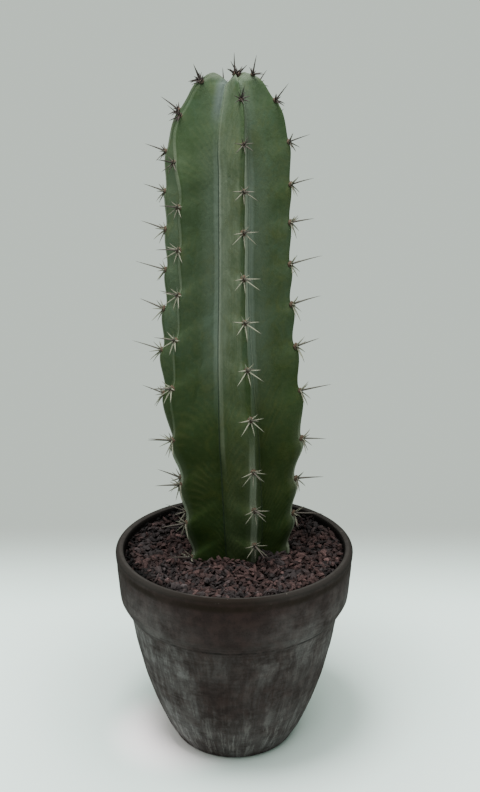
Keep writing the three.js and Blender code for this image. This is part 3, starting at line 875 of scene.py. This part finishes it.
def skin_material(settings):
    """Green skin, older and darker down the stem. Over it lie cloudy patches, deeper shade on the
    right flanks, arcs that fall from each areole to the groove, grey bloom along the grooves, thin
    beige layers left of the crests and the grooves that are partly bloom and partly painted light
    from the left, painted shade in the bottom of the grooves below the crown, and pale lines along
    the crests that are partly a waxy line and partly a painted highlight."""
    shader = Shader("cactus_skin", 0.03)
    spot = shader.spot()
    height = spot.axis("Z")
    crest, groove, place, across = shader.attributes("from_crest", "from_groove", "place", "across")
    side, trough, flank = shader.attributes("side", "trough", "flank")
    right = side.ramp(0, 0.1)
    left = 1 - side.ramp(-0.06, 0)
    clouds = shader.spot((1, 1, 0.5)).noise(22, 3, 0.55, 0.6)
    blots = shader.spot((1, 1, 0.7)).noise(11, 3, 0.55, 0.8)
    mottle = spot.noise(5, 4, 0.6)
    fibres = shader.spot((1, 1, 0.1)).noise(1.8, 3, 0.6)
    drift = height + clouds * 50 - 25
    tone = shader.layers(
        settings.grown,
        (drift.ramp(470, 505), settings.young),
        (drift.ramp(352, 312), settings.aged),
        (drift.ramp(294, 248), settings.old),
        (drift.ramp(225, 190), settings.foot),
    )
    shades = (0.72, 0.82, 0.66), (1.25, 1.08, 0.84), (0.86, 0.98, 1.04)
    deep, olive, teal = (shader.mix(1, tone, shade, "MULTIPLY") for shade in shades)
    upper = height.ramp(270, 345) * height.ramp(495, 440, 0.38, 1)
    shaded = right * (trough - flank) * height.ramp(400, 440) * height.ramp(508, 485, 0.2, 1)
    haze = (blots * 0.4 + fibres * 0.35 + clouds * 0.25).ramp(0.56, 0.38)
    arcs = (place - across**2.2 * 1.3) * 5 + mottle * 0.4
    band = abs(shader.add("ShaderNodeMath", {"operation": "FRACT"}, [arcs]) - 0.5) * 2
    faint = clouds.ramp(0.6, 0.42) * crest.ramp(3, 10) * height.ramp(330, 270, 0.3, 1)
    near = (groove + blots * 2 - 1).ramp(5, 2.4) * 0.2 + (groove + blots * 6 - 3).ramp(21, 3) * 0.13
    near = near * height.ramp(495, 455, 0.6, 1) * trough * upper * (fibres * 0.5 + 0.75)
    crown = height.ramp(488, 512) * groove.ramp(9, 5) * 0.045
    # shoulder: beige beside the crests on the left flanks only, partly bloom and partly painted
    # light from the left.
    shoulder = crest.ramp(1.5, 4.5) * left * flank * (upper * 0.09 + 0.04)
    shoulder = shoulder * height.ramp(290, 390, 0.6, 1) * height.ramp(508, 490, 0.6, 1)
    streak = abs(groove - 4).ramp(4, 1.2) * height.ramp(230, 260) * height.ramp(380, 320)
    cool = height.ramp(494, 512) * groove.ramp(9, 3) * right * (trough - flank) * 0.2
    # edge, second and pale draw pale lines along the crests: partly a real waxy line, partly a
    # painted highlight.
    edge = abs(crest + (clouds - 0.5) * 1.2 - flank * 1.9 - 1).ramp(1.7, 0.9) * right
    edge = edge * height.ramp(510, 460, 0.3, 1) * height.ramp(255, 330, 0.3, 1)
    edge = edge * height.ramp(330, 365, 1 - flank * 0.85, 1)
    edge = edge * mottle.ramp(0.25, 0.5, 0.7, 1.1) * (flank * 0.42 + 0.08)
    second = abs(crest - 12).ramp(8, 3) * right * height.ramp(345, 370) * upper * flank**3 * 0.32
    pale = crest.ramp(4, 2) * (0.28 - flank * 0.09) + crest.ramp(10, 3) * (0.06 - flank * 0.03)
    tone = shader.layers(
        tone,
        (right * height.ramp(400, 330, 0.2, 0.6), deep),
        (clouds.ramp(0.5, 0.68, 0, 0.6), deep),
        (blots.ramp(0.52, 0.7, 0, 0.6), olive),
        (blots.ramp(0.46, 0.3, 0, 0.7), teal),
        (mottle.ramp(0.5, 0.66, 0, 0.5), deep),
        (mottle.ramp(0.48, 0.34, 0, 0.4), olive),
        (shaded, deep),
        (shaded * abs(height - 477).ramp(17, 4) * 0.18, (0, 0, 0)),
        (haze * (upper * 0.02 + 0.002), settings.bloom),
        (band.ramp(0.1, 1) * faint * 0.7, olive),
        (band.ramp(0.4, 1, 0, 0.012) * faint, settings.edge),
        (near + crown, settings.bloom),
        (shoulder * (haze * 0.6 + 0.7), settings.veil_and_painted_light),
        # This layer and the next are beige on the left flanks only: partly bloom, partly painted
        # light from the left.
        (abs(groove - 1.7).ramp(1.2, 0.5) * left * flank * upper * 0.26, settings.veil_and_painted_light),
        (streak * left * flank * 0.12, settings.veil_and_painted_light),
        (cool, paint(72, 73, 92)),
        (crest.ramp(3, 4.5) * right * flank * (upper * 0.26 + 0.02), settings.bloom),
        # A dark line in the bottom of each groove below the crown: painted shade.
        (groove.ramp(0.8, 0.3, 0, 0.7) * height.ramp(500, 470), paint(26, 34, 28)),
        # Pale crest lines: partly a waxy line, partly a painted highlight.
        (edge + second, settings.edge),
        (pale * height.ramp(290, 240), settings.edge),
        ((height + mottle * 6).ramp(529, 534) * 0.3, paint(112, 120, 106)),
    )
    bumps = [(band * faint, 0.05), (blots, 0.5), (mottle, 0.3), (spot.noise(0.8, 2, 0.6), 0.06)]
    return shader.finish(tone, mottle.ramp(0.3, 0.7, 0.52, 0.68), bumps)


class CACTUS_OT_stem(Operator):
    """Grows the ribbed stem"""

    bl_idname = "cactus.stem"
    bl_label = "Stem"

    def execute(self, context):
        """The skin over a grid of places down the stem and positions across its ribs, moved along
        its own normal by the relief: creased grooves, soft arcs and gentle unevenness."""
        settings = context.scene.cactus_stem
        half = np.linspace(0, 1, STEPS_PER_FLANK)
        half = 0.5 * half + 0.5 * (0.5 - 0.5 * np.cos(np.pi * half))
        line = np.concatenate([-half[:0:-1], half])
        crown = np.linspace(-1, 0, 18)[1:-1]
        grown = np.arange(GROWN_PLACES * ROWS_PER_PLACE) / ROWS_PER_PLACE
        buried = GROWN_PLACES + np.array([0, 0.3, 0.7, 1, 1.5])
        places = np.concatenate([crown, grown, buried])
        place, rib, across = np.meshgrid(places, np.arange(6), line, indexing="ij")
        points = skin(settings, rib, place, across)
        steps = np.linalg.norm(np.diff(points, axis=2), axis=-1)
        run = np.concatenate([np.zeros((*steps.shape[:2], 1)), np.cumsum(steps, axis=2)], axis=2)
        middle = len(half) - 1
        from_crest = np.abs(run - run[..., middle : middle + 1])
        reach = np.where(across < 0, from_crest[..., :1], from_crest[..., -1:])
        from_groove = reach - from_crest
        aside = np.abs(across)
        arcs = place - aside**1.5 * 0.9
        relief = -0.7 * np.exp(-((from_groove / 1.1) ** 2))
        relief = relief + 0.16 * np.cos(2 * np.pi * (arcs - 0.1)) * np.sin(np.pi * aside)
        angle = heading(rib, points[..., 2])
        relief = relief + 0.3 * waves(angle + across * 0.5, points[..., 2], 9) * (1 - aside)
        relief = (relief * smooth(reach, 6, 22))[:, :, 1:]
        keep = points[:, :, 1:].reshape(len(places), -1, 3)
        around = np.roll(keep, -1, axis=1) - np.roll(keep, 1, axis=1)
        normal = unit(np.cross(np.gradient(keep, axis=0), around) + 1e-9)
        outwards = np.einsum("ijk,ijk->ij", normal, keep - [STEM_FOOT[0] - 4, STEM_FOOT[1], 0])
        normal = normal * np.sign(np.median(outwards))
        keep = keep + normal * relief.reshape(len(places), -1, 1)
        apex = [STEM_FOOT[0] + lean(settings, APEX_HEIGHT), STEM_FOOT[1], APEX_HEIGHT]
        points = np.concatenate([keep.reshape(-1, 3), [apex, [*STEM_FOOT, BASE_HEIGHT]]])
        faces = closed_rings(*keep.shape[:2])
        # Each value over the grid, and at the growing point and the foot
        values = {
            "from_crest": (from_crest, 0, 0),
            "from_groove": (from_groove, 10, 10),
            "place": (place, -1, PLACES),
            "across": (aside, 0, 0),
            "side": (across * (1 - aside) * 4, 0, 0),
            "trough": (np.where(across < 0, BLOOM[rib, 0], BLOOM[rib, 2]), 0, 0),
            "flank": (np.where(across < 0, BLOOM[rib, 1], BLOOM[rib, 3]), 0, 0),
        }
        attributes = {
            name: np.concatenate([part[:, :, 1:].ravel(), [top, bottom]])
            for name, (part, top, bottom) in values.items()
        }
        material = skin_material(settings)
        make_piece("stem", points, faces, material, "cactus_stem", attributes)
        return {"FINISHED"}


# The areoles


def areole_frames(settings):
    """Each areole's place, its point on its crest and its directions out, up the rib and across,
    from the slope of the crest line there."""
    rib, place = np.indices((6, GROWN_PLACES)).reshape(2, -1)
    at = skin(settings, rib, place, np.zeros(rib.size))
    arc = arc_at(place + delay(rib, place))
    step = 0.06
    tangent = unit(crest_point(arc + step) - crest_point(arc - step))
    angle = heading(rib, at[:, 2])
    radial = np.stack([np.sin(angle), -np.cos(angle), 0 * angle], axis=-1)
    up = np.array([0, 0, 1])
    outward = radial * -tangent[:, 1:] + up * tangent[:, :1]
    upward = radial * -tangent[:, :1] + up * -tangent[:, 1:]
    return place, at, outward, upward, np.cross(upward, outward)


def seeded_draws(seed, count):
    """Draws between 0 and 1 from a linear congruential generator with 32-bit state."""
    state, draws = seed, []
    for _ in range(count):
        state = (state * 1664525 + 1013904223) % 2**32
        draws.append(state / 2**32)
    return np.array(draws)


def needles(feet, bends, tips, radii, sides, stations, side_hint):
    """Points and faces of tapered needles, and each t of one needle's points: rings round a
    quadratic curve from foot to tip, closed at both, with (1 - t)^0.7 of the foot's radius."""
    t = np.asarray(stations)[None, :, None]
    path = feet[:, None] * (1 - t) ** 2 + bends[:, None] * 2 * t * (1 - t) + tips[:, None] * t**2
    ahead = unit(tips - feet)
    first = unit(np.cross(ahead, side_hint))
    second = np.cross(ahead, first)
    turn = circle(sides)[:, None]
    ring = first[:, None] * np.cos(turn) + second[:, None] * np.sin(turn)
    taper = radii[:, None, None, None] * ((1 - t) ** 0.7)[:, :, None]
    rings = (path[:, :, None] + ring[:, None] * taper).reshape(len(feet), -1, 3)
    points = np.concatenate([rings, feet[:, None], tips[:, None]], axis=1)
    faces = repeated(closed_rings(len(stations), sides), points)
    return points, faces, np.concatenate([np.repeat(stations, sides), [0, 1]])


def felt_material(settings):
    """Short matted wool, red-brown in the middle and greyer with age at its edge."""
    shader = Shader("areole_felt", 0.05)
    age, edge = shader.attributes("age", "edge")
    wool = shader.spot().noise(0.5, 3, 0.7)
    grown = shader.mix(edge.ramp(0.3, 1, 0, 0.6), settings.felt, paint(78, 68, 56))
    base = shader.mix(age.ramp(0, 0.35), paint(62, 54, 46), grown)
    base = shader.mix(wool.ramp(0.35, 0.7, 0, 0.6), base, paint(34, 22, 18))
    return shader.finish(base, 0.95, [(wool, 0.3)])


def spine_material(settings):
    """Bone-pale spines with brown feet and tips. Young spines are dark, central ones browner."""
    shader = Shader("spine", 0.1)
    along, age, central = shader.attributes("along", "age", "central")
    grain = shader.spot().noise(0.9, 3, 0.6)
    young = (age + grain * 0.2 - 0.1).ramp(0.6, 0.1)
    base = shader.layers(
        settings.pale,
        (central * 0.85, settings.brown),
        (along.ramp(0.22, 0.02, 0, 0.75), settings.brown),
        (along.ramp(0.7, 1, 0, 0.7), settings.brown),
        (young * age.ramp(0.3, 0.1, 0.6, 1), settings.dark),
        (grain.ramp(0.4, 0.75, 0, 0.3), settings.brown),
        (age.ramp(0.6, 0.95, 0, 0.5), settings.brown),
    )
    return shader.finish(base, 0.6, [(grain, 0.08)])


def stick_wool(material, age, size, at, outward, upward, sideways):
    """Short hairs that lean away from the middle of each cushion."""
    draw = np.random.default_rng(31)
    each = (len(at), HAIRS, 1)
    turn = draw.uniform(0, 2 * np.pi, each)
    reach = np.sqrt(draw.uniform(0.02, 1, each))
    flat = sideways[:, None] * np.cos(turn) + upward[:, None] * np.sin(turn)
    feet = at[:, None] + flat * reach * size[:, None, None] * 0.85
    feet = feet + outward[:, None] * (FELT_DOME * np.sqrt(1.05 - reach**2) * 0.8)
    rise = draw.uniform(0.5, 1.3, each)
    tips = feet + outward[:, None] * rise * 0.8 + flat * rise * reach
    feet, tips = feet.reshape(-1, 3), tips.reshape(-1, 3)
    hint = np.repeat(upward + 0.3 * sideways, HAIRS, axis=0)
    radii = np.full(len(feet), 0.07)
    points, faces, along = needles(feet, (feet + tips) / 2, tips, radii, 3, [0, 0.5], hint)
    values = {"age": np.repeat(age, HAIRS * len(along)), "edge": np.ones(points.shape[:2])}
    make_piece("areole_wool", points, faces, material, "cactus_stem", values)


class CACTUS_OT_felt(Operator):
    """Puts a felted cushion on every areole"""

    bl_idname = "cactus.felt"
    bl_label = "Areole felt"

    def execute(self, context):
        """Each cushion is an ellipsoid with tufts, bent down over the crest beside its middle:
        lowered by 0.2 times the square of the distance aside. Fine hairs stand on it."""
        settings = context.scene.cactus_spine
        place, at, outward, upward, sideways = areole_frames(context.scene.cactus_stem)
        draw = np.random.default_rng(23)
        width = settings.felt_width / MM
        count = len(place)
        age = place / (GROWN_PLACES - 1)
        size = width * (0.8 + 0.25 * smooth(age, 0, 0.5)) * draw.uniform(0.9, 1.1, count)
        rings, sides = 7, 16
        polar = np.linspace(0, np.pi, rings + 2)[1:-1][None, :, None]
        turn = circle(sides)
        tuft = draw.uniform(0.86, 1.12, (count, rings, sides))
        wide = np.sin(polar) * np.cos(turn) * tuft
        tall = np.sin(polar) * np.sin(turn) * tuft * 1.15
        thick = np.cos(polar) * tuft * FELT_DOME
        poles = np.zeros((count, 2))
        parts = ((wide, poles), (tall, poles), (thick, poles + [FELT_DOME, -FELT_DOME]))
        parts = (np.hstack([part.reshape(count, -1), ends]) * size[:, None] for part, ends in parts)
        wide, tall, thick = parts
        rise = thick - 0.2 * wide**2 + 0.15
        spread = sideways[:, None] * wide[..., None] + upward[:, None] * tall[..., None]
        points = at[:, None] + spread + outward[:, None] * rise[..., None]
        edge = np.concatenate([np.repeat(np.sin(polar), sides), [0, 1]])
        values = {"age": np.repeat(age, points.shape[1]), "edge": np.tile(edge, count)}
        material = felt_material(settings)
        faces = repeated(closed_rings(rings, sides), points)
        make_piece("areole_felt", points, faces, material, "cactus_stem", values)
        stick_wool(material, age, size, at, outward, upward, sideways)
        return {"FINISHED"}


class CACTUS_OT_spines(Operator):
    """Sets the spines into the areoles"""

    bl_idname = "cactus.spines"
    bl_label = "Spines"

    def execute(self, context):
        """A spine's tip lies at its length from the areole, turned from straight up and lifted off
        the skin by its own angles with a little stray, and kept clear of the gravel."""
        settings = context.scene.cactus_spine
        place, *frames = areole_frames(context.scene.cactus_stem)
        at, out, up, sideways = (part[:, None] for part in frames)
        count, kinds = len(place), len(SPINES)
        draws = seeded_draws(SPINE_SEED, count * kinds * 3).reshape(count, kinds, 3)
        stray = SPINE_JITTER * (draws - 0.5)
        turn, lift = (np.radians(SPINES[:, k] + stray[..., k]) for k in (0, 1))
        growth = 0.62 + 0.38 * smooth(place, 0, 6)
        long = growth[:, None] * SPINES[:, 2] * (0.85 + 0.3 * draws[..., 2])
        flat = up * np.cos(turn)[..., None] + sideways * np.sin(turn)[..., None]
        reach = (long * np.cos(lift))[..., None]
        rise = (long * np.sin(lift))[..., None]
        tips = at + flat * reach + out * rise
        ground = gravel_height(context.scene.cactus_gravel, tips[..., 0], tips[..., 1])
        tips[..., 2] = np.maximum(tips[..., 2], ground + SPINE_CLEARANCE)
        central = np.zeros((count, kinds)) + (np.arange(kinds) == 0)
        feet = at + flat * np.where(central, 0.1, 0.7)[..., None] + out * 0.5
        draw = np.random.default_rng(3)
        bow = draw.uniform(0.02, 0.1, (count, kinds, 1)) * long[..., None]
        bends = (feet + tips) / 2 + np.where(central[..., None], up * bow * 0.4, out * bow)
        radii = np.where(central, settings.central_radius, settings.radial_radius) / MM
        radii = radii * (0.72 + 0.28 * growth)[:, None] * draw.uniform(0.85, 1.12, (count, kinds))
        hint = np.where(central[..., None], up, out).reshape(-1, 3)
        shapes = [part.reshape(-1, 3) for part in (feet, bends, tips)]
        stations = [0, 0.12, 0.32, 0.56, 0.8, 0.94]
        points, faces, along = needles(*shapes, radii.ravel(), 6, stations, hint)
        values = {
            "along": np.tile(along, count * kinds),
            "age": np.repeat(place / (GROWN_PLACES - 1), kinds * len(along)),
            "central": np.repeat(central, len(along)),
        }
        material = spine_material(settings)
        make_piece("spines", points, faces, material, "cactus_stem", values)
        return {"FINISHED"}


# The stage

CAMERA_ASIDE = 0.0046


def lay_floor(settings):
    """A level sheet that fades out well behind the pot and further off on the other sides."""
    shader = Shader("pale_floor", 0.1)
    spot = shader.spot()
    x, y = spot.axis("X"), spot.axis("Y")
    seen = y.ramp(400, 170) * y.ramp(-1400, -900) * abs(x).ramp(1300, 800)
    shader.put(shader.surface["Alpha"], seen)
    base = shader.layers(
        settings.floor,
        (spot.noise(160).ramp(0.3, 0.7, 0, 0.12), paint(214, 222, 220)),
        # Darker towards the pot: painted shadow of the pot on the floor.
        (spot.vector("LENGTH", output="Value").ramp(280, 90, 0, 0.22), (0, 0, 0)),
        # A paler, pinker patch by the pot's left foot: painted light, as light thrown back under
        # the pot.
        (spot.vector("DISTANCE", (-45, -10, 0), output="Value").ramp(70, 20), (0.95, 0.88, 0.9)),
    )
    columns, rows = 29, 21
    across, along = np.meshgrid(np.linspace(-1400, 1400, columns), np.linspace(-1500, 500, rows))
    points = np.stack([across, along, np.full(across.shape, -0.2)], axis=-1).reshape(-1, 3)
    start = (np.arange(rows - 1)[:, None] * columns + np.arange(columns - 1)).ravel()
    faces = np.stack([start, start + 1, start + columns + 1, start + columns], axis=-1)
    floor = new_object("floor", points, [faces], shader.finish(base, 0.9))


def hang_light(name, place, target, size, power):
    light = bpy.data.lights.new(name, "AREA")
    light.shape = "DISK"
    light.size = size
    light.energy = power
    lamp = into_scene(name, light)
    lamp.location = place
    look = np.array(place) - target
    slant = math.atan2(math.hypot(look[0], look[1]), look[2])
    lamp.rotation_euler = (slant, 0, math.atan2(look[0], -look[1]))


class CACTUS_OT_stage(Operator):
    """Sets up the floor, the light and the camera"""

    bl_idname = "cactus.stage"
    bl_label = "Stage"

    def execute(self, context):
        settings = context.scene.cactus_stage
        lay_floor(settings)
        world = bpy.data.worlds.new("backdrop")
        context.scene.world = world
        world.use_nodes = True
        sky = world.node_tree.nodes["Background"].inputs
        sky["Color"].default_value = (*settings.backdrop, 1)
        sky["Strength"].default_value = 1
        hang_light("key_light", (-0.2, -0.2, 1.5), (0, 0, 0.1), 0.5, settings.key)
        hang_light("front_light", (0.2, -0.4, 1.5), (0, 0, 0.1), 0.9, settings.front)
        hang_light("side_light", (-1.4, -0.2, 0.9), (0, 0, 0.3), 0.9, settings.side)
        camera = bpy.data.cameras.new("camera")
        camera.lens = settings.lens
        camera.sensor_width = 36
        stand = into_scene("camera", camera)
        stand.location = (CAMERA_ASIDE, -settings.distance, settings.camera_height)
        stand.rotation_euler = (math.pi / 2 - settings.pitch, 0, 0)
        context.scene.camera = stand
        return {"FINISHED"}


class VIEW3D_PT_potted_cactus(Panel):
    """The cactus tools in the sidebar"""

    bl_label = "Potted cactus"
    bl_idname = "VIEW3D_PT_potted_cactus"
    bl_space_type = "VIEW_3D"
    bl_region_type = "UI"
    bl_category = "Cactus"

    def draw(self, context):
        for operator in OPERATORS:
            self.layout.operator(operator.bl_idname)
        for group in SETTINGS:
            box = self.layout.box()
            for name in SETTINGS[group].__annotations__:
                box.prop(getattr(context.scene, group), name)


SETTINGS = {
    "cactus_pot": PotSettings,
    "cactus_gravel": GravelSettings,
    "cactus_stem": StemSettings,
    "cactus_spine": SpineSettings,
    "cactus_stage": StageSettings,
}

OPERATORS = [
    CACTUS_OT_clay_pot,
    CACTUS_OT_potting_mix,
    CACTUS_OT_lava_gravel,
    CACTUS_OT_stem,
    CACTUS_OT_felt,
    CACTUS_OT_spines,
    CACTUS_OT_stage,
]


def register():
    for kind in [*SETTINGS.values(), *OPERATORS, VIEW3D_PT_potted_cactus]:
        bpy.utils.register_class(kind)
    for name, kind in SETTINGS.items():
        setattr(bpy.types.Scene, name, PointerProperty(type=kind))


def unregister():
    for name in SETTINGS:
        delattr(bpy.types.Scene, name)
    for kind in [VIEW3D_PT_potted_cactus, *OPERATORS, *SETTINGS.values()]:
        bpy.utils.unregister_class(kind)


def main():
    register()
    bpy.ops.cactus.clay_pot()
    bpy.ops.cactus.potting_mix()
    bpy.ops.cactus.lava_gravel()
    bpy.ops.cactus.stem()
    bpy.ops.cactus.felt()
    bpy.ops.cactus.spines()
    bpy.ops.cactus.stage()


if __name__ == "__main__":
    main()
